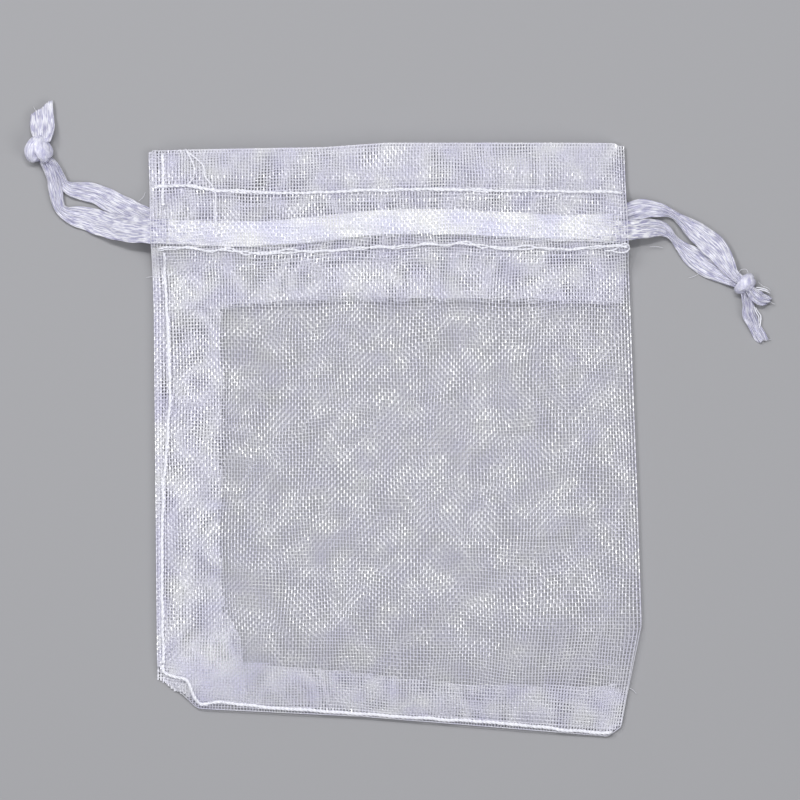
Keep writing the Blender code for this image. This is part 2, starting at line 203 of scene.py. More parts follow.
RIGHT_LOOP_BACK = (
    (0.0330, 0.0336, 0.0011, 0.0034), (0.0352, 0.0345, 0.0013, 0.0030), (0.0375, 0.0351, 0.0015, 0.0030),
    (0.0399, 0.0350, 0.0013, 0.0023), (0.0418, 0.0345, 0.0013, 0.0014), (0.0432, 0.0336, 0.0015, 0.0015),
    (0.0448, 0.0324, 0.0016, 0.0026), (0.0468, 0.0308, 0.0016, 0.0034), (0.0489, 0.0289, 0.0016, 0.0035),
    (0.0504, 0.0267, 0.0016, 0.0027), (0.0515, 0.0251, 0.0016, 0.0016),
)
RIGHT_LOOP_FRONT = (
    (0.0330, 0.0317, 0.0036, 0.0034), (0.0352, 0.0318, 0.0036, 0.0030), (0.0374, 0.0320, 0.0032, 0.0029),
    (0.0399, 0.0322, 0.0022, 0.0025), (0.0413, 0.0317, 0.0014, 0.0018), (0.0423, 0.0307, 0.0010, 0.0012),
    (0.0434, 0.0295, 0.0007, 0.0017), (0.0449, 0.0282, 0.0006, 0.0029), (0.0472, 0.0265, 0.0006, 0.0032),
    (0.0495, 0.0252, 0.0007, 0.0025), (0.0512, 0.0242, 0.0010, 0.0016),
)
LEFT_TAIL_OVER = (
    (-0.0534, 0.0452, 0.0022, 0.0024), (-0.0534, 0.0465, 0.0019, 0.0033),
    (-0.0535, 0.0485, 0.0013, 0.0037), (-0.0536, 0.0506, 0.0010, 0.0034),
)
LEFT_TAIL_UNDER = (
    (-0.0536, 0.0452, 0.0014, 0.0024), (-0.0536, 0.0464, 0.0010, 0.0028),
    (-0.0538, 0.0480, 0.0006, 0.0032), (-0.0540, 0.0495, 0.0004, 0.0032),
)
RIGHT_TAIL_LONG = (
    (0.0531, 0.0230, 0.0016, 0.0015), (0.0534, 0.0216, 0.0013, 0.0016), (0.0537, 0.0205, 0.0010, 0.0018),
    (0.0538, 0.0191, 0.0009, 0.0021), (0.0544, 0.0178, 0.0007, 0.0019), (0.0550, 0.0166, 0.0006, 0.0018),
    (0.0556, 0.0156, 0.0005, 0.0019), (0.0560, 0.0150, 0.0005, 0.0016),
)
RIGHT_TAIL_SHORT = (
    (0.0537, 0.0230, 0.0020, 0.0014), (0.0545, 0.0222, 0.0019, 0.0019), (0.0555, 0.0215, 0.0015, 0.0021),
    (0.0564, 0.0213, 0.0011, 0.0016), (0.0571, 0.0212, 0.0009, 0.0007),
)

# Loose sewing thread left inside the hem: x, y
HEM_THREADS = (
    (
        (-0.0318, 0.0441), (-0.0291, 0.0417), (-0.0287, 0.0400), (-0.0275, 0.0382), (-0.0271, 0.0365),
        (-0.0271, 0.0335), (-0.0268, 0.0310),
    ),
    ((-0.0317, 0.0441), (-0.0305, 0.0418), (-0.0303, 0.0405), (-0.0308, 0.0393), (-0.0316, 0.0385)),
)

# Small loop in the thread at the right end of the lower row
THREAD_LOOP = (
    (0.0318, 0.0287), (0.0332, 0.0288), (0.0342, 0.0295), (0.0350, 0.0297), (0.0355, 0.0292),
    (0.0352, 0.0286), (0.0344, 0.0284), (0.0330, 0.0286),
)

# Outline of the corner at the bottom right, where spare cloth is tucked in
CORNER_TUCK = (
    (0.0314, -0.0378), (0.0354, -0.0374), (0.0349, -0.0420), (0.0342, -0.0436), (0.0325, -0.0446),
    (0.0312, -0.0438),
)

# Outline of the corner at the bottom left, where the two allowances are folded over each other
CORNER_FOLD = (
    (-0.0350, -0.0344), (-0.0256, -0.0256), (-0.0232, -0.0300), (-0.0222, -0.0400), (-0.0295, -0.0398),
    (-0.0312, -0.0362),
)

# Loose fibres: x, y, z
RIGHT_FIBRES = (
    (
        (0.0548, 0.0202, 0.0010), (0.0551, 0.0196, 0.0008), (0.0556, 0.0189, 0.0006),
        (0.0556, 0.0182, 0.0006), (0.0555, 0.0174, 0.0005), (0.0552, 0.0167, 0.0006),
    ),
    ((0.0545, 0.0205, 0.0010), (0.0549, 0.0194, 0.0009), (0.0553, 0.0187, 0.0007), (0.0553, 0.0177, 0.0006)),
    ((0.0549, 0.0229, 0.0018), (0.0557, 0.0228, 0.0016), (0.0564, 0.0226, 0.0013), (0.0570, 0.0223, 0.0012)),
    ((0.0548, 0.0232, 0.0020), (0.0555, 0.0231, 0.0018), (0.0563, 0.0229, 0.0015), (0.0568, 0.0226, 0.0014)),
)
RIGHT_HAIRS = (
    ((0.0551, 0.0240, 0.0022), (0.0558, 0.0234, 0.0022), (0.0566, 0.0231, 0.0018), (0.0571, 0.0227, 0.0014)),
    ((0.0521, 0.0254, 0.0020), (0.0526, 0.0259, 0.0022), (0.0533, 0.0259, 0.0023), (0.0536, 0.0254, 0.0022)),
    ((0.0507, 0.0240, 0.0008), (0.0514, 0.0235, 0.0006), (0.0523, 0.0231, 0.0006), (0.0529, 0.0224, 0.0008)),
    ((0.0463, 0.0253, 0.0004), (0.0455, 0.0249, 0.0003), (0.0446, 0.0246, 0.0003)),
    ((0.0560, 0.0151, 0.0005), (0.0566, 0.0152, 0.0004), (0.0572, 0.0153, 0.0003)),
    ((0.0569, 0.0212, 0.0009), (0.0574, 0.0208, 0.0008), (0.0578, 0.0207, 0.0006)),
    ((0.0387, 0.0294, 0.0010), (0.0399, 0.0294, 0.0008), (0.0408, 0.0292, 0.0006)),
)
LEFT_HAIRS = (
    ((-0.0541, 0.0496, 0.0008), (-0.0545, 0.0500, 0.0007), (-0.0549, 0.0507, 0.0005)),
    ((-0.0389, 0.0363, 0.0010), (-0.0382, 0.0369, 0.0008), (-0.0379, 0.0377, 0.0006)),
)
CORNER_TUFT = (
    ((0.0322, -0.0376, 0.0013), (0.0328, -0.0371, 0.0017), (0.0333, -0.0374, 0.0015)),
    ((0.0325, -0.0372, 0.0014), (0.0331, -0.0376, 0.0017), (0.0336, -0.0372, 0.0014)),
    ((0.0327, -0.0379, 0.0013), (0.0330, -0.0372, 0.0018), (0.0338, -0.0370, 0.0014)),
    ((0.0331, -0.0380, 0.0013), (0.0334, -0.0374, 0.0017), (0.0331, -0.0368, 0.0014)),
)
CORNER_HAIRS = (
    ((0.0354, -0.0375, 0.0007), (0.0361, -0.0379, 0.0006), (0.0368, -0.0386, 0.0003)),
    ((-0.0352, 0.0251, 0.0010), (-0.0366, 0.0249, 0.0008), (-0.0378, 0.0247, 0.0004)),
)


# ---- Curves and drift ------------------------------------------------------------------------------------


def smooth_route(rows, steps=8):
    """Curve through the rows: between two rows, the cubic whose slope at either of them is half the step from
    the row before it to the row after it."""
    rows = np.asarray(rows, float)
    padded = np.vstack([2 * rows[0] - rows[1], rows, 2 * rows[-1] - rows[-2]])
    t = (np.arange(steps) / steps)[None, :, None]
    a, b, c, d = (padded[k : len(padded) - 3 + k][:, None, :] for k in range(4))
    curve = (2 * b + (c - a) * t + (2 * a - 5 * b + 4 * c - d) * t**2 + (3 * b - a - 3 * c + d) * t**3) / 2
    return np.vstack([curve.reshape(-1, rows.shape[1]), rows[-1:]])


def distance_along(points):
    """Length of the line up to each of its points: the sum of the steps before it."""
    steps = np.linalg.norm(np.diff(points[:, :3], axis=0), axis=1)
    return np.concatenate([[0.0], np.cumsum(steps)])


def evenly(points, step):
    """The same line with its points about one step apart; every column is read between the rows."""
    along = distance_along(points)
    at = np.linspace(0.0, along[-1], max(3, int(round(along[-1] / step)) + 1))
    return np.stack([np.interp(at, along, column) for column in points.T], axis=1)


def drift(x, y, seed, reach, span):
    """Slow drift of about reach: the sum of six sine waves whose headings, phases and lengths, which lie
    round span, follow from the seed."""
    rng = np.random.default_rng(seed)
    total = np.zeros(np.broadcast(x, y).shape)
    ranges = ((0, 2 * np.pi), (0.6, 1.8), (0, 2 * np.pi))
    headings, lengths, phases = (rng.uniform(*ends, 6) for ends in ranges)
    for heading, length, phase in zip(headings, span * lengths, phases):
        total += np.sin(2 * np.pi * (x * np.cos(heading) + y * np.sin(heading)) / length + phase)
    return reach * total / math.sqrt(3)


# ---- Plan of the pouch -----------------------------------------------------------------------------------


def plan(node):
    """Corners of a flat plate seen from above, in order round its middle."""
    points = np.array([v.co[:2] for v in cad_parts[node].data.vertices])
    points = np.unique(np.round(points, 6), axis=0)
    middle = (points.min(0) + points.max(0)) / 2
    return points[np.argsort(np.arctan2(points[:, 1] - middle[1], points[:, 0] - middle[0]))]


def chain(points, keep, column):
    """One side of an outline as a sorted line, to be read at any x (column 0) or y (column 1)."""
    side = points[keep]
    return side[np.argsort(side[:, column])]


def mid_z(node):
    """Height of the middle of a node's box."""
    low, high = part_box(node)
    return (low.z + high.z) / 2


# Each side of the pouch is the part of its outline beyond a line that only this side crosses
OUTLINE = plan("front_panel")
RIGHT_SIDE = chain(OUTLINE, OUTLINE[:, 0] > 0.010, 1)
LEFT_SIDE = chain(OUTLINE, OUTLINE[:, 0] < -0.020, 1)
TOP_SIDE = chain(OUTLINE, OUTLINE[:, 1] > 0.043, 0)
BOTTOM_SIDE = chain(OUTLINE, OUTLINE[:, 1] < -0.034, 0)

# Height of each cloth layer, and the layer that the channel stitching and the mouth's fold join it to
CLOTH_Z = {
    "back_panel": mid_z("back_panel"),
    "back_facing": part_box("back_hem_facing")[1].z - SHEET / 2,
    "back_allowance": mid_z("side_allowance_back"),
    "front_allowance": mid_z("side_allowance_front"),
    "front_facing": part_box("front_hem_facing")[0].z + SHEET / 2,
    "front_panel": mid_z("front_panel"),
}
PARTNER = {
    "back_panel": "back_facing",
    "back_facing": "back_panel",
    "front_facing": "front_panel",
    "front_panel": "front_facing",
}


def right_edge(y):
    """x of the folded side at y, read between the corners of the outline, as for the other three edges."""
    return np.interp(y, RIGHT_SIDE[:, 1], RIGHT_SIDE[:, 0])


def left_edge(y):
    """x of the sewn side at y."""
    return np.interp(y, LEFT_SIDE[:, 1], LEFT_SIDE[:, 0])


def top_edge(x):
    """y of the mouth at x."""
    return np.interp(x, TOP_SIDE[:, 0], TOP_SIDE[:, 1])


def bottom_edge(x):
    """y of the bottom seam's edge at x."""
    return np.interp(x, BOTTOM_SIDE[:, 0], BOTTOM_SIDE[:, 1])


def bottom_line(x):
    """The bottom edge, carried on past the two corners as straight lines of its own slope."""
    straight = np.clip(x, BOTTOM_LEFT, BOTTOM_RIGHT)
    return bottom_edge(straight) + (x - straight) * BOTTOM_SLOPE


def within(corners, x, y):
    """Whether points lie inside an outline: an odd number of its sides lie to the right of the point."""
    inside = np.zeros(np.broadcast(x, y).shape, bool)
    for (ax, ay), (bx, by) in zip(corners, np.roll(corners, -1, axis=0)):
        crosses = (ay > y) != (by > y)
        height = by - ay if by != ay else 1.0
        inside ^= crosses & (x < ax + (bx - ax) * (y - ay) / height)
    return inside


# ---- Heights ---------------------------------------------------------------------------------------------


def at_exit(y):
    """1 in the openings that the ribbons come out of, falling to 0 above and below them as exp(-u^4)."""
    return np.exp(-(((y - EXIT_Y) / EXIT_SPAN) ** 4))


def pinch(x, y):
    """Share of its full height that the pouch keeps: falls towards the seams, the fold and the mouth.

    Each edge takes away a share that fades as exp(-distance / reach), and what the four edges leave is
    multiplied. The ribbons hold their exits open.
    """
    closed = 1 - EXIT_HELD * at_exit(y)
    from_seam = x - SIDE_SEAM_X
    seam = np.exp(-np.where(from_seam < 0, -from_seam / SEAM_OUT, from_seam / SEAM_IN))
    side = 1 - SEAM_PINCH * closed * seam
    fold = 1 - FOLD_PINCH * closed * np.exp(-np.clip(right_edge(y) - x, 0, None) / FOLD_IN)
    from_bottom = y - bottom_line(x) - BOTTOM_STITCHED
    sewn = np.exp(-np.where(from_bottom < 0, -from_bottom / BOTTOM_OUT, from_bottom / BOTTOM_IN))
    bottom = 1 - BOTTOM_PINCH * sewn
    mouth = 1 - MOUTH_PINCH * np.exp(-np.clip(top_edge(x) - y, 0, None) / MOUTH_IN)
    return np.maximum(side * fold * bottom * mouth, LEAST_HEIGHT)


def lie(z, x, y):
    """Height at x, y of something modelled at z, once the pouch is pinched: its height over the back panel
    times the share that is kept."""
    return FLOOR_CLEAR + (z - CLOTH_Z["back_panel"]) * pinch(x, y)


def rounding(distance):
    """Quarter circle: 0 further than FOLD_ROUND from a folded edge, 1 at the edge itself."""
    return 1 - np.sqrt(1 - np.clip(1 - distance / FOLD_ROUND, 0, 1) ** 2)


def channel_pull(y):
    """How strongly the two rows of channel stitching draw a panel and its facing together: a bell curve of y
    round each row."""
    return sum(np.exp(-(((y - row) / ROW_SPREAD) ** 2)) for row in CHANNEL_ROWS)


def cloth_height(layer, x, y):
    """Height of a cloth layer: its place in the stack, slow ripples, the dips along the channel stitching,
    and the quarter circles by which folded edges meet the layer that they turn into."""
    z = lie(CLOTH_Z[layer], x, y)
    if layer.startswith("front"):
        z = z + sum(drift(x, y, *ripple) for ripple in RIPPLES) * pinch(x, y) ** 2
    if layer in PARTNER:
        other = lie(CLOTH_Z[PARTNER[layer]], x, y)
        z = z + ROW_PULL * (other - z) * channel_pull(y)
        z = z + (other - z) / 2 * rounding(top_edge(x) - y)
    if layer.endswith("panel"):
        shut = (lie(CLOTH_Z["back_panel"], x, y) + lie(CLOTH_Z["front_panel"], x, y)) / 2
        to_side = np.minimum(right_edge(y) - x, x - left_edge(y))
        z = z + (shut - z) * rounding(to_side) * (1 - at_exit(y))
        z = z + (shut - z) * rounding(y - bottom_edge(x))
    return z


# ---- Meshes ----------------------------------------------------------------------------------------------


def joined(*shapes):
    """Several shapes, each of points, polygons and texture places, as one."""
    points, polygons, places, count = [], [], [], 0
    for more, faces, uv in shapes:
        points.append(more)
        polygons += [face + count for face in faces]
        places.append(np.zeros((len(more), 2)) if uv is None else uv)
        count += len(more)
    return np.concatenate(points), polygons, np.concatenate(places)


def piece(name, shape, material, smooth=True):
    """Object of this shape at the origin. Its polygons are a list of arrays, each of faces with equally many
    corners."""
    points, polygons, uv = shape
    corners = np.concatenate([face.ravel() for face in polygons]).astype(np.int32)
    sizes = np.concatenate([np.full(len(face), face.shape[1]) for face in polygons])
    mesh = bpy.data.meshes.new(name)
    mesh.vertices.add(len(points))
    mesh.vertices.foreach_set("co", points.astype(np.float32).ravel())
    mesh.loops.add(len(corners))
    mesh.loops.foreach_set("vertex_index", corners)
    mesh.polygons.add(len(sizes))
    mesh.polygons.foreach_set("loop_start", np.concatenate([[0], np.cumsum(sizes)[:-1]]).astype(np.int32))
    mesh.update(calc_edges=True)
    mesh.polygons.foreach_set("use_smooth", np.full(len(sizes), smooth))
    if uv is not None:
        layer = mesh.uv_layers.new(name="UVMap")
        layer.data.foreach_set("uv", uv[corners].astype(np.float32).ravel())
    mesh.materials.append(material)
    made = bpy.data.objects.new(name, mesh)
    bpy.context.scene.collection.objects.link(made)
    return made


def yarns(centres, inside, width):
    """Yarns through centres[i, j] along j, wherever two neighbours are inside.

    The section is a triangle with its flat side up, so that each yarn shines like a flat filament: two
    corners half a width to the left and right of the middle line, and one below it.
    """
    ahead = np.gradient(centres, axis=1)[:, :, :2]
    ahead /= np.linalg.norm(ahead, axis=2, keepdims=True)
    side = np.stack([-ahead[:, :, 1], ahead[:, :, 0], np.zeros(inside.shape)], axis=2) * width / 2
    top = np.array([0.0, 0.0, 0.4 * YARN_DEPTH])
    keel = centres + top - [0, 0, YARN_DEPTH]
    rings = np.stack([centres + side + top, centres - side + top, keel], axis=2)
    linked = inside[:, :-1] & inside[:, 1:]
    before = np.pad(linked, ((0, 0), (1, 0)))
    after = np.pad(linked, ((0, 0), (0, 1)))
    used = before | after
    number = (np.cumsum(used.ravel()) - 1).reshape(used.shape) * 3
    here, there = number[:, :-1][linked][:, None], number[:, 1:][linked][:, None]
    corner, following = np.array([0, 1, 2]), np.array([1, 2, 0])
    walls = np.stack([here + corner, here + following, there + following, there + corner], axis=2)
    starts = number[used & ~before][:, None] + np.array([0, 2, 1])
    ends = number[used & ~after][:, None] + np.array([0, 1, 2])
    return rings[used].reshape(-1, 3), [walls.reshape(-1, 4), starts, ends], None


def calm(distance):
    """0 at an edge and 1 a few yarns away from it: one less a bell curve of the distance."""
    return 1 - np.exp(-((np.clip(distance, 0, None) / EDGE_CALM) ** 2))


def crossings(seed, stretch):
    """Where a layer's yarns cross: an even grid that follows the pouch's edges and drifts between them.

    The outermost yarns lie on the edges. Each edge moves the grid by its distance from a straight line,
    fading with exp(-distance / EDGE_REACH). A pitch a few per cent wider makes two layers fall in and out of
    step.
    """
    rng = np.random.default_rng(seed)
    columns = round((RIGHT_X - LEFT_X) / (WARP_PITCH * stretch))
    rows = round((TOP_Y - BOTTOM_Y) / (WEFT_PITCH * stretch))
    x = np.linspace(LEFT_X + EDGE_INSET, RIGHT_X - EDGE_INSET, columns)[:, None]
    y = np.linspace(BOTTOM_Y + EDGE_INSET, TOP_Y - EDGE_INSET, rows)[None, :]
    away_x = np.minimum(RIGHT_X - x, x - LEFT_X)
    away_y = np.minimum(TOP_Y - y, y - BOTTOM_Y)
    x, y = np.broadcast_arrays(x, y)
    x = x + rng.normal(0, UNEVEN, x.shape) * calm(away_x)
    y = y + rng.normal(0, UNEVEN, y.shape) * calm(away_y)
    right = right_edge(np.clip(y, LOWEST_RIGHT, HIGHEST_RIGHT))
    left = left_edge(np.clip(y, LOWEST_LEFT, HIGHEST_LEFT))
    shift_x = (right - RIGHT_X) * np.exp(-np.clip(RIGHT_X - x, 0, None) / EDGE_REACH)
    shift_x = shift_x + (left - LEFT_X) * np.exp(-np.clip(x - LEFT_X, 0, None) / EDGE_REACH)
    shift_y = (top_edge(x) - TOP_Y) * np.exp(-np.clip(TOP_Y - y, 0, None) / EDGE_REACH)
    shift_y = shift_y + (bottom_line(x) - BOTTOM_Y) * np.exp(-np.clip(y - BOTTOM_Y, 0, None) / EDGE_REACH)
    drift_x = drift(x, y, seed + 1, DRIFT[0], DRIFT_SPAN) * calm(away_x)
    drift_y = drift(x, y, seed + 2, DRIFT[1], DRIFT_SPAN) * calm(away_y)
    return x + shift_x + drift_x, y + shift_y + drift_y


def woven(layer, grid, warp_inside, weft_inside):
    """Plain weave through the crossings: where i + j is even the warp passes over and the weft under, and
    where it is odd the other way round, each by CRIMP times an uneven share."""
    x, y = grid
    z = cloth_height(layer, x, y)
    i, j = np.indices(x.shape)
    rng = np.random.default_rng(x.size)
    over = CRIMP * (1 - 2 * ((i + j) % 2)) * rng.uniform(0.6, 1.4, x.shape)
    warp = np.stack([x, y, z + over], axis=2)
    weft = np.stack([x, y, z - over], axis=2).transpose(1, 0, 2)
    return joined(yarns(warp, warp_inside, WARP_WIDTH), yarns(weft, weft_inside.T, WEFT_WIDTH))


def tube(centres, radii, sides):
    """Closed round tube: at each centre a circle across the line, drawn from the way left and the way up."""
    ahead = np.gradient(centres, axis=0)
    ahead /= np.linalg.norm(ahead, axis=1, keepdims=True)
    left = np.cross([0.0, 0.0, 1.0], ahead)
    left = left / np.maximum(np.linalg.norm(left, axis=1, keepdims=True), 1e-9)
    up = np.cross(ahead, left)
    turn = -2 * np.pi * np.arange(sides) / sides
    circle = np.cos(turn)[None, :, None] * left[:, None] + np.sin(turn)[None, :, None] * -up[:, None]
    rings = centres[:, None] + np.broadcast_to(radii, len(centres))[:, None, None] * circle
    return rings.reshape(-1, 3), grid_faces(len(centres), sides, True), None


def grid_faces(rows, around, caps):
    """Faces of a tube of rings that each run clockwise seen from behind, with its two end caps."""
    first = (np.arange(rows - 1) * around)[:, None]
    corner = np.arange(around)
    following = (corner + 1) % around
    walls = [first + corner, first + following, first + following + around, first + corner + around]
    faces = [np.stack(walls, axis=2).reshape(-1, 4)]
    if caps:
        faces += [corner[::-1][None], corner[None] + (rows - 1) * around]
    return faces


def band(route, side_way=None, pleats=2.5, phase=0.0, crumple=0.00003, cut=0.0, begin=0.0, across=33):
    """Ribbon of constant cloth width carried along a route of x, y, z and seen width.

    Where the seen width is less than the ribbon's own, the section is a cosine wave of that many whole
    waves, or pleats, whose slope takes up the rest. crumple is the depth of small creases that run along the
    ribbon, and cut slants the far end. begin is the length of ribbon before the route, where it carries on
    from another piece. The under side is the same surface one thickness lower.
    """
    centres, width = route[:, :3], route[:, 3]
    s = np.linspace(1, -1, across)[None, :]
    ahead = np.gradient(centres, axis=0)
    ahead /= np.linalg.norm(ahead, axis=1, keepdims=True)
    left = np.cross([0.0, 0.0, 1.0], ahead) if side_way is None else np.broadcast_to(side_way, ahead.shape)
    left = left / np.linalg.norm(left, axis=1, keepdims=True)
    up = np.cross(ahead, left)
    along = distance_along(centres) + begin
    slack = np.sqrt(np.clip((RIBBON_WIDTH / width) ** 2 - 1, 0, 9))
    depth = np.minimum(slack * width / (4 * pleats), PLEAT_LIMIT)[:, None]
    turn = np.pi * pleats * s + phase + PLEAT_SWING * along[:, None]
    lift = depth * np.cos(turn) + depth * 0.35 * np.cos(2.7 * turn + 1.0)
    seed = 7 + int(10 * phase)
    creases = drift(0.30 * along[:, None], s * RIBBON_WIDTH, seed, 1.0, 0.0007)
    creases = creases + 1.5 * drift(along[:, None], s * RIBBON_WIDTH, seed + 1, 1.0, 0.0028)
    lift = lift + np.reshape(crumple, (-1, 1)) * creases
    reach = width[:, None] / 2 * s * (1 + drift(along[:, None], 0.0, seed + 2, 0.02, 0.003))
    ahead_by = cut * s * np.clip(1 - (along[-1] - along[:, None]) / END_REACH, 0, 1)
    jag = drift(s * RIBBON_WIDTH, 0.0, 3, 0.00012, 0.0009) * (ahead_by != 0)
    top = centres[:, None] + reach[..., None] * left[:, None] + lift[..., None] * up[:, None]
    top = top + (ahead_by + jag)[..., None] * ahead[:, None]
    low = top - RIBBON_THICK * up[:, None]
    low[..., 2] = np.maximum(low[..., 2], FLOOR_CLEAR / 4)
    top[..., 2] = np.maximum(top[..., 2], FLOOR_CLEAR)
    rings = np.concatenate([top, low[:, ::-1]], axis=1)
    uv_top = np.stack(np.broadcast_arrays(along[:, None] / RIBBON_WIDTH, (s + 1) / 2), axis=2)
    uv = np.concatenate([uv_top, uv_top[:, ::-1]], axis=1).reshape(-1, 2)
    faces = grid_faces(len(centres), 2 * across, False)
    k = np.arange(across - 1)
    cap = np.stack([k, k + 1, 2 * across - 2 - k, 2 * across - 1 - k], axis=1)
    faces += [cap[:, ::-1], cap + (len(centres) - 1) * 2 * across]
    return rings.reshape(-1, 3), faces, uv


def stitches(route, layer, above, radius, seed, wobble=0.00008, length=STITCH_LENGTH, plies=2):
    """Run of stitches on a cloth layer: plies wound round each other as helices. The thread's height follows
    the size of a sine wave, up over each stitch and down to each needle hole, with a slow sideways wobble."""
    line = evenly(smooth_route(route), radius * 1.1)
    along = distance_along(line)
    ahead = np.gradient(line, axis=0)
    ahead /= np.linalg.norm(ahead, axis=1, keepdims=True)
    side = np.stack([-ahead[:, 1], ahead[:, 0]], axis=1)
    way = drift(along, 0.0, seed, wobble, 0.0052) + drift(along, 0.0, seed + 1, wobble * 0.25, 0.0015)
    line = line + side * way[:, None]
    bow = np.abs(np.sin(np.pi * along / length))
    height = cloth_height(layer, line[:, 0], line[:, 1]) + above + STITCH_BOW * (bow - 0.5)
    centres = np.column_stack([line, height])
    thickness = radius * (0.85 + 0.25 * bow + drift(along, 0.0, seed + 2, 0.06, 0.002))
    shapes = []
    for ply in range(plies):
        turn = 2 * np.pi * (along / (radius * 11) + ply / plies)
        off = (radius * 0.75) * np.column_stack([side * np.cos(turn)[:, None], np.sin(turn)])
        shapes.append(tube(centres + off, thickness * 0.8, 5))
    return joined(*shapes)


def hair(points, radius):
    """Loose fibre through a few points: a tube that tapers to both ends as the root of a half sine wave."""
    line = evenly(smooth_route(points), radius * 3)
    share = np.linspace(0, 1, len(line))
    return tube(line, radius * (0.35 + 0.65 * np.sin(np.pi * share) ** 0.5), 4)


def tied(centre, axes, turn, bands, around=220, rows=130):
    """Tight knot: a ball whose radius in each direction is that of the highest band lying there.

    A band is its normal, width, height and offset along the normal. It runs round the ball square to its
    normal, and its height falls off from its middle line as a half ellipse, with fine grooves along it. The
    ball is then stretched to its three axes and turned about the upright through its middle.
    """
    core = 0.70
    polar = np.linspace(0, np.pi, rows)[1:-1, None]
    azimuth = 2 * np.pi * np.arange(around)[None, :] / around
    flat = [np.sin(polar) * np.cos(azimuth), np.sin(polar) * np.sin(azimuth), np.cos(polar)]
    way = np.stack(np.broadcast_arrays(*flat), axis=2)
    radius = np.full(way.shape[:2], core)
    for number, (normal, width, height, offset) in enumerate(bands):
        normal = np.array(normal) / np.linalg.norm(normal)
        sway = drift(way[..., 0], way[..., 1] + way[..., 2], 31 + number, 0.05, 1.1)
        across = (way @ normal - offset + sway) / width
        body = np.sqrt(np.clip(1 - across**2, 0, None))
        grooves = 0.020 * np.cos(27 * across + 3 * sway) + 0.010 * np.cos(11 * across)
        radius = np.maximum(radius, core + (height + grooves) * body)
    skin = way * radius[..., None] * np.array(axes) / 2
    cos, sin = math.cos(turn), math.sin(turn)
    skin = np.array(centre) + skin @ np.array([[cos, sin, 0.0], [-sin, cos, 0.0], [0.0, 0.0, 1.0]])
    poles = np.array([centre, centre])
    poles[:, 2] = skin[0, :, 2].mean(), skin[-1, :, 2].mean()
    points = np.concatenate([skin.reshape(-1, 3), poles])
    count = rows - 2
    first = (np.arange(count - 1) * around)[:, None]
    here = np.arange(around)
    next_one = (here + 1) % around
    walls = [first + here, first + here + around, first + next_one + around, first + next_one]
    last = (count - 1) * around
    top = np.stack([np.full(around, count * around), here, next_one], axis=1)
    under = np.stack([np.full(around, count * around + 1), last + next_one, last + here], axis=1)
    return points, [np.stack(walls, axis=2).reshape(-1, 4), top, under], None


# ---- Materials -------------------------------------------------------------------------------------------


def new_material(name, colour, roughness, specular=0.5):
    """Material with one shader, and its nodes, links and shader to build on."""
    material = bpy.data.materials.new(name)
    material.use_nodes = True
    nodes, links = material.node_tree.nodes, material.node_tree.links
    shader = nodes["Principled BSDF"]
    shader.inputs["Base Color"].default_value = (*colour, 1.0)
    shader.inputs["Roughness"].default_value = roughness
    shader.inputs["Specular IOR Level"].default_value = specular
    return material, nodes, links, shader


def noise(nodes, links, source, scale, detail, stretch=(1.0, 1.0, 1.0)):
    """Noise over the given coordinates, stretched by a Mapping node. Returns its factor output."""
    mapping = nodes.new("ShaderNodeMapping")
    mapping.inputs["Scale"].default_value = stretch
    texture = nodes.new("ShaderNodeTexNoise")
    texture.inputs["Scale"].default_value = scale
    texture.inputs["Detail"].default_value = detail
    links.new(source, mapping.inputs["Vector"])
    links.new(mapping.outputs["Vector"], texture.inputs["Vector"])
    return texture.outputs["Fac"]


def between(nodes, links, factor, low, high, start=0.3, end=0.7):
    """Colour that runs from low to high as the factor runs from start to end."""
    ramp = nodes.new("ShaderNodeValToRGB")
    ramp.color_ramp.elements[0].position = start
    ramp.color_ramp.elements[1].position = end
    ramp.color_ramp.elements[0].color = (*low, 1.0)
    ramp.color_ramp.elements[1].color = (*high, 1.0)
    links.new(factor, ramp.inputs["Fac"])
    return ramp.outputs["Color"]


def span(nodes, links, factor, low, high):
    """Number that runs from low to high with the factor."""
    reach = nodes.new("ShaderNodeMapRange")
    reach.inputs["From Min"].default_value = 0.3
    reach.inputs["From Max"].default_value = 0.7
    reach.inputs["To Min"].default_value = low
    reach.inputs["To Max"].default_value = high
    links.new(factor, reach.inputs["Value"])
    return reach.outputs["Result"]


def organza_yarn(name, dim, solid, rough):
    """Polyester filament: partly clear, white with a cool cast, glossier in some patches than in others. dim
    scales its colour, and below 1 it is painted shade: the back panel's copy is darkened for the shade that
    the front panel casts on it. solid is its share of opacity."""
    material, nodes, links, shader = new_material(name, (0.84 * dim, 0.84 * dim, 0.92 * dim), 0.22, 1.0)
    place = nodes.new("ShaderNodeTexCoord").outputs["Object"]
    patches = noise(nodes, links, place, 260.0, 2.0)
    low, high = (0.79 * dim, 0.78 * dim, 0.92 * dim), (0.94 * dim, 0.94 * dim, 0.97 * dim)
    links.new(between(nodes, links, patches, low, high), shader.inputs["Base Color"])
    links.new(span(nodes, links, patches, rough, rough - 0.14), shader.inputs["Roughness"])
    shader.inputs["Alpha"].default_value = solid
    return material


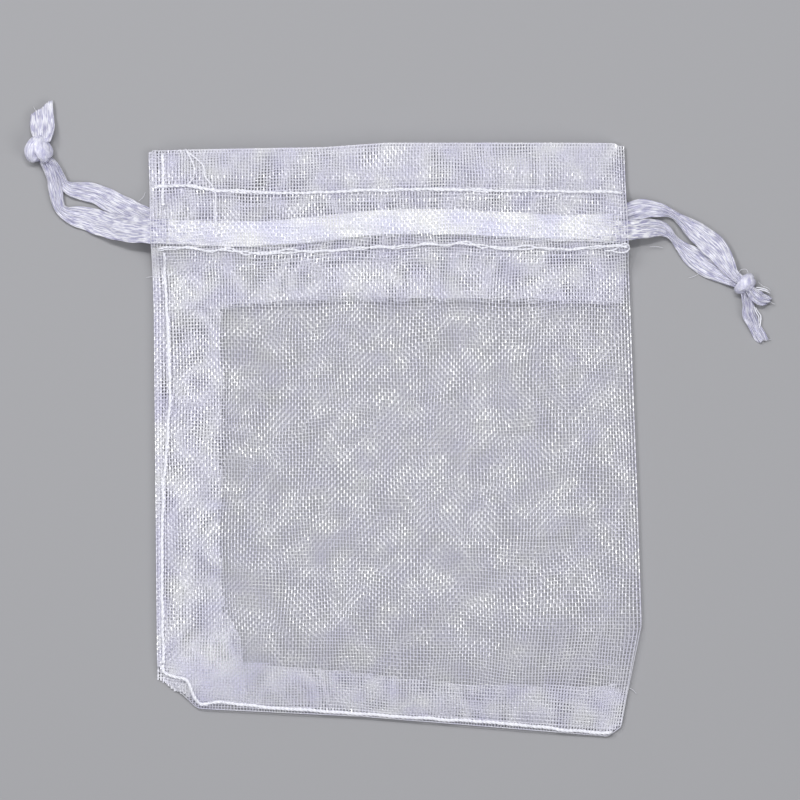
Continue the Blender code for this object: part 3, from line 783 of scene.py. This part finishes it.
def satin(name, low, high, grain, lit, glints=0.0):
    """Satin ribbon: long floats lie side by side, so colour, bump and gloss run in streaks along the ribbon.
    The streaks' colour, from low to high, is partly the floats' own grain and partly painted shade and sheen.

    grain sets how fine the streaks are, along and across. Where the ribbon begins, painted glints, short
    white dashes, are mixed into the colour; they fade over a length of lit ribbon widths to the share called
    glints.
    """
    material, nodes, links, shader = new_material(name, high, 0.26, 0.8)
    place = nodes.new("ShaderNodeTexCoord").outputs["UV"]
    streaks = noise(nodes, links, place, 1.0, 1.0, (*grain, 1.0))
    fine = noise(nodes, links, place, 1.0, 2.0, (4.0, 70.0, 1.0))
    dashes = noise(nodes, links, place, 1.0, 1.0, (2.6, 17.0, 1.0))
    along = nodes.new("ShaderNodeSeparateXYZ")
    links.new(place, along.inputs["Vector"])
    near = nodes.new("ShaderNodeMapRange")
    near.inputs["From Max"].default_value = lit
    near.inputs["To Min"].default_value = 1.0
    near.inputs["To Max"].default_value = glints
    links.new(along.outputs["X"], near.inputs["Value"])
    mix = nodes.new("ShaderNodeMix")
    mix.data_type = "RGBA"
    links.new(near.outputs["Result"], mix.inputs["Factor"])
    links.new(between(nodes, links, streaks, low, high, 0.40, 0.58), mix.inputs["A"])
    shade = [0.87 * part for part in low]
    # painted glints: short white dashes over a darker copy of low, mixed in most where the ribbon begins
    painted_glints = between(nodes, links, dashes, shade, (1.0, 1.0, 1.0), 0.44, 0.54)
    links.new(painted_glints, mix.inputs["B"])
    links.new(mix.outputs["Result"], shader.inputs["Base Color"])
    links.new(span(nodes, links, fine, 0.18, 0.36), shader.inputs["Roughness"])
    added = nodes.new("ShaderNodeMath")
    added.operation = "ADD"
    links.new(dashes, added.inputs[0])
    links.new(fine, added.inputs[1])
    bump = nodes.new("ShaderNodeBump")
    bump.inputs["Strength"].default_value = 0.8
    bump.inputs["Distance"].default_value = 0.00012
    links.new(added.outputs["Value"], bump.inputs["Height"])
    links.new(bump.outputs["Normal"], shader.inputs["Normal"])
    shader.inputs["Sheen Weight"].default_value = 0.15
    return material


def satin_knot():
    """The same satin drawn tight: noise streaks, partly the satin's grain, partly painted shade and sheen."""
    material, nodes, links, shader = new_material("satin_knot", (0.88, 0.88, 0.96), 0.3, 0.7)
    place = nodes.new("ShaderNodeTexCoord").outputs["Object"]
    streaks = noise(nodes, links, place, 2600.0, 3.0, (1.0, 0.25, 1.0))
    # dark lavender to near white: painted shade and sheen of the folds, mixed with the grain
    colour = between(nodes, links, streaks, (0.50, 0.49, 0.68), (0.88, 0.88, 0.96))
    links.new(colour, shader.inputs["Base Color"])
    bump = nodes.new("ShaderNodeBump")
    bump.inputs["Strength"].default_value = 0.5
    bump.inputs["Distance"].default_value = 0.00008
    links.new(streaks, bump.inputs["Height"])
    links.new(bump.outputs["Normal"], shader.inputs["Normal"])
    return material


def sewing_thread():
    """Spun sewing thread: soft white, with fine fibres across the twist."""
    material, nodes, links, shader = new_material("sewing_thread", (0.92, 0.92, 0.98), 0.45, 0.5)
    place = nodes.new("ShaderNodeTexCoord").outputs["Object"]
    fibres = noise(nodes, links, place, 5200.0, 2.0)
    colour = between(nodes, links, fibres, (0.84, 0.84, 0.94), (0.97, 0.97, 1.0))
    links.new(colour, shader.inputs["Base Color"])
    return material


# ---- Cloth -----------------------------------------------------------------------------------------------


def edge_yarn(layer, corners):
    """Yarn that lies along a folded edge of a cloth layer, just inside it: the edge itself, drawn a little
    towards the middle of the pouch."""
    inset = 0.00008
    line = evenly(np.array(corners), 0.0005)
    line = line - inset * (line / np.linalg.norm(line, axis=1, keepdims=True))
    centres = np.column_stack([line, cloth_height(layer, line[:, 0], line[:, 1])])
    return tube(centres, RIM_RADIUS, 5)


def cloth_piece(name, layer, grid, region, node, columns=None, fray=None, extra=()):
    """One cloth layer, or the part of it between two columns, as a piece that takes the place of its nodes.

    The yarns are those inside the region. fray moves the weft's ends out and in, row by row, and the
    columns' last warp is left to the piece that carries on from it.
    """
    x, y = grid
    warp_inside = within(region, x, y)
    weft_inside = warp_inside if fray is None else within(region, x - fray, y)
    if columns is not None:
        first, last = columns
        keep = np.zeros(x.shape, bool)
        keep[first : last + 1] = True
        weft_inside = weft_inside & keep
        keep[last] = last == len(x) - 1
        warp_inside = warp_inside & keep
    shape = joined(woven(layer, grid, warp_inside, weft_inside), *extra)
    # the back panel takes the darker copy of the yarn, which is painted shade
    kind = {"front_panel": "organza", "back_panel": "under"}.get(layer, "turned")
    made = piece(name, shape, MATERIALS[kind], smooth=False)
    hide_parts(*node)
    return made


def on_back(made):
    """Lets a piece ride the back of the pouch, which is what everything else moves on."""
    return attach(made, "pouch_back")


def lifting(made):
    """Keeps a front piece in place: its placement is baked into its mesh, and it rides no body."""
    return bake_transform(made)


def rims(half):
    """The closed edges of half a panel, as two lines: its side from corner to mouth, and its bottom."""
    side = LEFT_SIDE if half == "left" else RIGHT_SIDE
    lowest, highest = -0.0345 if half == "left" else -0.0436, 0.0440
    rows = np.linspace(lowest, highest, 120)
    line = np.column_stack([np.interp(rows, side[:, 1], side[:, 0]), rows])
    bottom = BOTTOM_SIDE[BOTTOM_SIDE[:, 0] < 0] if half == "left" else BOTTOM_SIDE[BOTTOM_SIDE[:, 0] > 0]
    cut = np.array([[0.0, bottom_edge(0.0)]])
    bottom = np.concatenate([bottom, cut]) if half == "left" else np.concatenate([cut, bottom])
    return line, bottom


def column_halves(grid):
    """The left and the right half of a grid, as first and last column, and the edge of the pouch by each."""
    middle, last = len(grid[0]) // 2, len(grid[0]) - 1
    return ("left", (0, middle), LEFT_X), ("right", (middle, last), RIGHT_X)


def build_panels():
    """Front and back panel, each in a left and a right half that meet on one yarn."""
    for side, seed, stretch in (("back", 11, 1.006), ("front", 23, 1.0)):
        grid = crossings(seed, stretch)
        for half, columns, edge_x in column_halves(grid):
            node = [f"{side}_panel"]
            if (side, half) == ("back", "right"):
                node += ["right_fold_lower", "right_fold_upper"]
            layer = f"{side}_panel"
            rim = [edge_yarn(layer, corners) for corners in rims(half)]
            name = f"{side}_cloth_{half}"
            made = cloth_piece(name, layer, grid, OUTLINE, node, columns, extra=rim)
            on_back(made) if side == "back" else lifting(made)


def build_hems():
    """The turned-in hems: a band of cloth inside each panel from the mouth down past the channel."""
    channel_y, corner_inset, seam_inset, fold_inset = 0.03, 0.0004, 0.0006, 0.0003
    x = np.linspace(LEFT_X + corner_inset, RIGHT_X - corner_inset, 24)
    x = np.clip(x, left_edge(channel_y) + seam_inset, right_edge(channel_y) - fold_inset)
    lower = np.interp(x, *np.transpose(HEM_EDGE))
    for side, seed, stretch, drop in (("back", 57, 1.03, -0.0004), ("front", 71, 0.97, 0.0)):
        under = np.column_stack([x, lower + drop])
        over = np.column_stack([x, top_edge(x)])[::-1]
        region = np.concatenate([under, over])
        grid = crossings(seed, stretch)
        node = [f"{side}_hem_facing"]
        name, layer = f"{side}_hem_cloth", f"{side}_facing"
        if side == "back":
            on_back(cloth_piece(name, layer, grid, region, node))
            continue
        for half, columns, edge_x in column_halves(grid):
            made = cloth_piece(f"{name}_{half}", layer, grid, region, node, columns)
            lifting(made)


def build_allowances():
    """Seam allowances turned inside along the side and the bottom, with slightly frayed raw edges.

    A close weave fills the strip outside the side seam, and spare cloth the two bottom corners.
    """
    rng = np.random.default_rng(5)
    for side, seed, shift, stretch in (("back", 83, 0.0, 0.96), ("front", 97, 0.0003, 1.04)):
        grid = crossings(seed, stretch)
        fray = rng.uniform(0, 1.8 * WARP_PITCH, grid[0].shape[1])[None, :]
        region = np.array(SIDE_ALLOWANCE) + [shift, 0.0]
        node = [f"side_allowance_{side}"]
        name, layer, flat = f"side_allowance_cloth_{side}", f"{side}_allowance", (0.0105, 0.0790)
        close = crossings(seed + 2, 0.52)
        outside_seam = (close[0] < left_edge(close[1]) + SEAM_ROLL) & (close[1] > LOWEST_LEFT)
        inside = within(OUTLINE, *close) & outside_seam
        roll = [woven(layer, close, inside, inside)]
        on_back(cloth_piece(name, layer, grid, region, node, fray=fray, extra=roll))
        region = np.array(BOTTOM_ALLOWANCE) + [0.0, shift]
        node = [f"bottom_allowance_{side}"]
        name, flat = f"bottom_allowance_cloth_{side}", (0.0660, 0.0115)
        spare = crossings(seed + 4, 0.93)
        inside = within(CORNER_TUCK, *spare) | within(CORNER_FOLD, *spare)
        tuck = [woven(layer, spare, inside, inside)]
        grid = crossings(seed + 9, 2 - stretch)
        on_back(cloth_piece(name, layer, grid, region, node, extra=tuck))


def thread_piece(name, shape, node):
    """Run of stitches as a piece that takes the place of its node."""
    made = piece(name, shape, MATERIALS["thread"])
    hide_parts(*node)
    return made


def halves_of(route):
    """A stitching route split where it crosses the middle of the pouch."""
    line = smooth_route(route)
    cut = np.array([[0.0, np.interp(0.0, line[:, 0], line[:, 1])]])
    return np.concatenate([line[line[:, 0] < 0], cut]), np.concatenate([cut, line[line[:, 0] > 0]])


def build_stitching():
    """Channel rows on both faces, the side seam above and below the ribbons, and the bottom seam."""
    thin, thick = STITCH_RADIUS * 0.70, STITCH_RADIUS * 1.15
    rows = (
        ("upper", FRONT_UPPER_ROW, 201, 0.00005, STITCH_RADIUS),
        ("lower", FRONT_LOWER_ROW, 211, 0.00011, thin),
    )
    for level, route, seed, wobble, radius in rows:
        for half, part, edge_x in zip(("left", "right"), halves_of(route), (LEFT_X, RIGHT_X)):
            outer = stitches(part, "front_panel", 0.00022, radius, seed, wobble)
            inner = stitches(part, "front_panel", 0.00014, thin, seed + 5, wobble * 2.2)
            name, node = f"front_{level}_stitches_{half}", f"front_{level}_stitching"
            lifting(thread_piece(name, joined(outer, inner), [node]))
    for level, route, seed in (("upper", BACK_UPPER_ROW, 231), ("lower", BACK_LOWER_ROW, 241)):
        shape = stitches(route, "back_facing", 0.00030, thick, seed)
        on_back(thread_piece(f"back_{level}_stitches", shape, [f"back_{level}_stitching"]))
    seams = (
        ("side_seam_stitches_lower", SIDE_SEAM_LOWER, "side_seam_stitching_lower", 251),
        ("side_seam_stitches_upper", SIDE_SEAM_UPPER, "side_seam_stitching_upper", 261),
        ("bottom_seam_stitches", BOTTOM_SEAM, "bottom_seam_stitching", 271),
    )
    for name, route, node, seed in seams:
        shape = stitches(route, "front_panel", -0.00005, SEAM_RADIUS, seed, 0.00005, SEAM_STITCH, 3)
        on_back(thread_piece(name, shape, [node]))


# ---- Ribbons ---------------------------------------------------------------------------------------------


def ribbon_piece(name, shape, node, body, material="satin"):
    """Ribbon as a piece that takes the place of its nodes, and rides a body if one is given."""
    made = piece(name, shape, MATERIALS[material])
    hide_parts(*node)
    if body:
        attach(made, body)
    return made


def strand_route(exit_row, end_x, z, aside, sink=0.0):
    """Ribbon's route inside the channel, from where its free loop begins: along the channel's line, shifted
    aside, and brought to the loop's own place, height and width by a share that fades as exp(-distance).
    Its far end sinks under the other ribbon in the same way."""
    laid, join_reach, sink_reach = RIBBON_WIDTH * 0.985, 0.006, 0.004
    x = np.linspace(exit_row[0], end_x, 60)
    line = smooth_route(CHANNEL_LINE)
    exit_shift = exit_row[1] - (np.interp(exit_row[0], line[:, 0], line[:, 1]) + aside)
    joins = np.exp(-np.abs(x - exit_row[0]) / join_reach)
    y = np.interp(x, line[:, 0], line[:, 1]) + aside + exit_shift * joins
    height = lie(z, x, y)
    height = height + (exit_row[2] - height[0]) * joins - sink * np.exp(-np.abs(end_x - x) / sink_reach)
    width = laid + (exit_row[3] - laid) * joins
    return evenly(np.column_stack([x, y, height, width]), 0.00025)


def creased(route):
    """Depth of the creases along a strand: a bell curve round either way out, slight in the middle."""
    slight, deep, reach = 0.000008, 0.000085, 0.009
    from_exit = 0.0345 - np.abs(route[:, 0])
    return slight + deep * np.exp(-((np.clip(from_exit, 0, None) / reach) ** 2))


def build_channel_ribbons():
    """The four strands inside the channel, and the turn at the far end of each ribbon. A front strand is in
    two halves, one on each side of the middle of the pouch."""
    line = smooth_route(CHANNEL_LINE)
    # x of the far end, how far the turn reaches past it, shift to the side, how far the front strand sinks at
    # its far end, phases of the pleats in front and behind, and the edges by the near and the far half
    left_plan = (0.0330, 0.0016, 0.0, 0.0009, (0.3, 2.2), (LEFT_X, RIGHT_X))
    right_plan = (-0.0330, -0.0016, -0.0002, 0.0, (1.7, 0.9), (RIGHT_X, LEFT_X))
    for side, front_exit, back_exit, (far_x, out, aside, sink, phases, edges) in (
        ("left", LEFT_LOOP_FRONT[0], LEFT_LOOP_BACK[0], left_plan),
        ("right", RIGHT_LOOP_FRONT[0], RIGHT_LOOP_BACK[0], right_plan),
    ):
        body, lifted = f"{side}_ribbon", f"{side}_front_strand"
        front_z, back_z = mid_z(f"{side}_ribbon_front_strand"), mid_z(f"{side}_ribbon_back_strand")
        route = strand_route(front_exit, far_x, front_z, aside, sink)
        middle = int((route[:, 0] * front_exit[0] > 0).sum())
        begin = distance_along(route)[middle]
        halves = (("near", route[: middle + 1], 0.0, edges[0]), ("far", route[middle:], begin, edges[1]))
        for half, part, before, edge_x in halves:
            shape = band(part, crumple=creased(part), phase=phases[0], begin=before)
            name, node = f"{side}_ribbon_front_band_{half}", f"{side}_ribbon_front_strand"
            # the channel strands take the lighter copy of the satin, which is painted light
            made = ribbon_piece(name, shape, [node], None, "channel")
            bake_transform(made)
        route = strand_route(back_exit, far_x, back_z, aside)
        shape = band(route, crumple=creased(route), phase=phases[1])
        node = [f"{side}_ribbon_back_strand"]
        ribbon_piece(f"{side}_ribbon_back_band", shape, node, body, "channel")
        y = np.interp(far_x, line[:, 0], line[:, 1]) + aside
        low, high = lie(back_z, far_x, y), lie(front_z, far_x, y) - sink
        turn = [
            (far_x + 0.1 * out, y, low, 0.0034),
            (far_x + 0.7 * out, y, low + 0.0003, 0.0030),
            (far_x + 1.0 * out, y, (low + high) / 2, 0.0028),
            (far_x + 0.7 * out, y, high - 0.0003, 0.0030),
            (far_x + 0.1 * out, y, high, 0.0034),
        ]
        shape = band(evenly(smooth_route(turn), 0.0002), side_way=(0.0, np.sign(out), 0.0))
        # the turn takes the same lighter copy, painted light over its own shaded side
        ribbon_piece(f"{side}_ribbon_turn", shape, [f"{side}_ribbon_bight"], "pouch_back", "channel")


def build_loop(side, front, back, knot_shape, tails):
    """One free loop: the ribbon from its exit to the knot, through it and back, with knot and two ends."""
    body = f"{side}_ribbon"
    knot = ribbon_piece(f"{side}_ribbon_knot", tied(*knot_shape), [f"{side}_knot"], body, "knot")
    for name, node, rows, cut, phase in tails:
        shape = band(evenly(smooth_route(rows), 0.00018), phase=phase, crumple=0.00004, cut=cut)
        ribbon_piece(name, shape, [node], body)
    centre = (*knot_shape[0], min(front[-1][3], back[-1][3]))
    rows = np.array([*front, centre, *back[::-1]])
    route = evenly(smooth_route(rows), 0.00022)
    # the left loop takes the satin with painted glints throughout, and the right loop the copy whose painted
    # glints are strongest by its front exit
    loop = ribbon_piece(
        f"{side}_ribbon_loop",
        band(route, phase=0.4, crumple=0.000035, pleats=3.5),
        [f"{side}_loop_front_strand", f"{side}_loop_back_strand"],
        body,
        "satin" if side == "left" else "lit",
    )


def build_loops():
    """Both free loops, each with a knot of three crossing bands: normal, width, height and offset."""
    low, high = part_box("left_knot")
    big_lobe, small_lobe = ((0.85, -0.35, 0.3), 0.62, 0.34, -0.40), ((0.8, 0.45, 0.35), 0.42, 0.22, 0.46)
    slanting = ((0.9, 0.45, 0.2), 0.30, 0.30, 0.06)
    build_loop(
        "left",
        LEFT_LOOP_FRONT,
        LEFT_LOOP_BACK,
        (tuple((low + high) / 2), (0.0047, 0.0043, 0.0036), 0.0, (big_lobe, small_lobe, slanting)),
        (
            ("left_ribbon_end_over", "left_tail_over", LEFT_TAIL_OVER, -0.0010, 0.8),
            ("left_ribbon_end_under", "left_tail_under", LEFT_TAIL_UNDER, -0.0008, 2.1),
        ),
    )
    low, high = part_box("right_knot")
    wrap, second = ((1.0, 0.1, 0.1), 0.58, 0.30, -0.18), ((0.9, -0.35, 0.25), 0.42, 0.26, 0.38)
    lengthwise = ((0.3, 1.0, 0.3), 0.38, 0.16, 0.25)
    build_loop(
        "right",
        RIGHT_LOOP_FRONT,
        RIGHT_LOOP_BACK,
        (tuple((low + high) / 2), (0.0030, 0.0038, 0.0032), math.radians(-47), (wrap, second, lengthwise)),
        (
            ("right_ribbon_end_long", "right_tail_long", RIGHT_TAIL_LONG, 0.0003, 0.2),
            ("right_ribbon_end_short", "right_tail_short", RIGHT_TAIL_SHORT, 0.0002, 1.4),
        ),
    )


def fibres(name, rows, radius, body):
    """Loose fibres as one piece that rides a body; those of a ribbon ride the ribbon."""
    made = piece(name, joined(*(hair(np.array(row), radius) for row in rows)), MATERIALS["thread"])
    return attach(made, body)


def build_loose_threads():
    """Frayed fibres at the knots and corners, the thread's loop by the fold, and thread left in the hem."""
    fibres("right_frayed_yarns", RIGHT_FIBRES, 0.00011, "right_ribbon")
    fibres("right_hairs", RIGHT_HAIRS, 0.00003, "right_ribbon")
    fibres("left_hairs", LEFT_HAIRS, 0.00003, "left_ribbon")
    fibres("corner_hairs", CORNER_HAIRS, 0.000035, "pouch_back")
    fibres("corner_tuft", CORNER_TUFT, 0.00009, "pouch_back")
    thin, wobble = 0.0001, 0.00002
    loop = stitches(THREAD_LOOP, "front_panel", 0.0002, thin, 281, wobble)
    seeded = zip(HEM_THREADS, (301, 302))
    ends = [stitches(route, "front_panel", thin, thin, seed, wobble) for route, seed in seeded]
    left_in = (("channel_thread_end", loop, RIGHT_X), ("hem_loose_thread", joined(*ends), LEFT_X))
    for name, shape, edge_x in left_in:
        made = piece(name, shape, MATERIALS["thread"])
        lifting(made)


# ---- Studio ----------------------------------------------------------------------------------------------


def build_floor():
    """Square floor, 2 * size along each side, at height 0."""
    size = 1.5
    corners = np.array([[-size, -size, 0.0], [size, -size, 0.0], [size, size, 0.0], [-size, size, 0.0]])
    material, _, _, _ = new_material("floor", (0.36, 0.36, 0.375), 0.9, 0.2)
    piece("floor", (corners, [np.array([[0, 1, 2, 3]])], None), material)


def area_light(name, place, wide, deep, power):
    """Lamp aimed at the middle of the floor; wide is its level side."""
    light = bpy.data.lights.new(name, "AREA")
    light.shape = "RECTANGLE"
    light.size = wide
    light.size_y = deep
    light.energy = power
    made = bpy.data.objects.new(name, light)
    bpy.context.scene.collection.objects.link(made)
    made.location = place
    made.rotation_euler = (-Vector(place)).to_track_quat("-Z", "Y").to_euler()


def build_studio():
    """Long lamps beyond the mouth and to the left, which catch the yarns' slopes, and two soft ones."""
    area_light("beyond", (0.0, 0.27, 0.72), 0.26, 0.05, 2.3)
    area_light("beside", (-0.27, 0.0, 0.72), 0.26, 0.05, 1.0)
    area_light("key", (-0.30, 0.32, 0.60), 0.20, 0.20, 1.4)
    area_light("fill", (0.42, -0.22, 0.55), 0.40, 0.40, 1.2)
    world = bpy.data.worlds.new("room")
    world.use_nodes = True
    world.node_tree.nodes["Background"].inputs["Color"].default_value = (0.86, 0.88, 0.92, 1.0)
    world.node_tree.nodes["Background"].inputs["Strength"].default_value = 0.25
    bpy.context.scene.world = world
    bpy.context.scene.view_settings.view_transform = "Standard"


def build_camera():
    """Long lens straight above, framed VIEW_WIDTH wide at the height of the cloth."""
    camera = bpy.data.cameras.new("camera")
    camera.lens = camera.sensor_width * (CAMERA_HEIGHT - PANEL_TOP) / VIEW_WIDTH
    camera.clip_start = 0.05
    camera.clip_end = 5.0
    made = bpy.data.objects.new("camera", camera)
    bpy.context.scene.collection.objects.link(made)
    made.location = (*VIEW_MIDDLE, CAMERA_HEIGHT)
    bpy.context.scene.camera = made


# free satin's colours: the dark low is partly painted shade of the creases, and the high is partly painted
# sheen
FREE_SATIN = ((0.38, 0.37, 0.56), (0.82, 0.82, 0.94), (1.3, 26.0))  # low and high colour, and grain
MATERIALS = {
    "organza": organza_yarn("organza_yarn", 1.0, YARN_SOLID, 0.30),
    # back panel's yarn: the same organza darkened to 0.80, painted shade for the front panel over it
    "under": organza_yarn("organza_yarn_under_painted_shade", 0.80, YARN_SOLID, 0.34),
    "turned": organza_yarn("organza_yarn_turned", 1.03, TURNED_SOLID, 0.48),
    # left loop: painted glints mixed in at a share of 0.45 along its whole length
    "satin": satin("satin_ribbon", *FREE_SATIN, 0.001, 0.45),
    # right loop: the same satin, with painted glints that are full by the front exit and fade to 0.45 over
    # 2.2 widths
    "lit": satin("satin_by_the_fold_painted_glints", *FREE_SATIN, 2.2, 0.45),
    # channel strands: the same ribbon painted far lighter than the free loops, painted light that makes up
    # for the shade of the cloth over it, with painted glints for 3.4 widths from the start
    "channel": satin("satin_in_channel_painted_light", (0.85, 0.85, 0.99), (1.0, 1.0, 1.0), (0.5, 0.8), 3.4),
    "knot": satin_knot(),
    "thread": sewing_thread(),
}
build_camera()
build_studio()
build_floor()
build_loops()
build_channel_ribbons()
build_panels()
build_hems()
build_allowances()
build_stitching()
build_loose_threads()
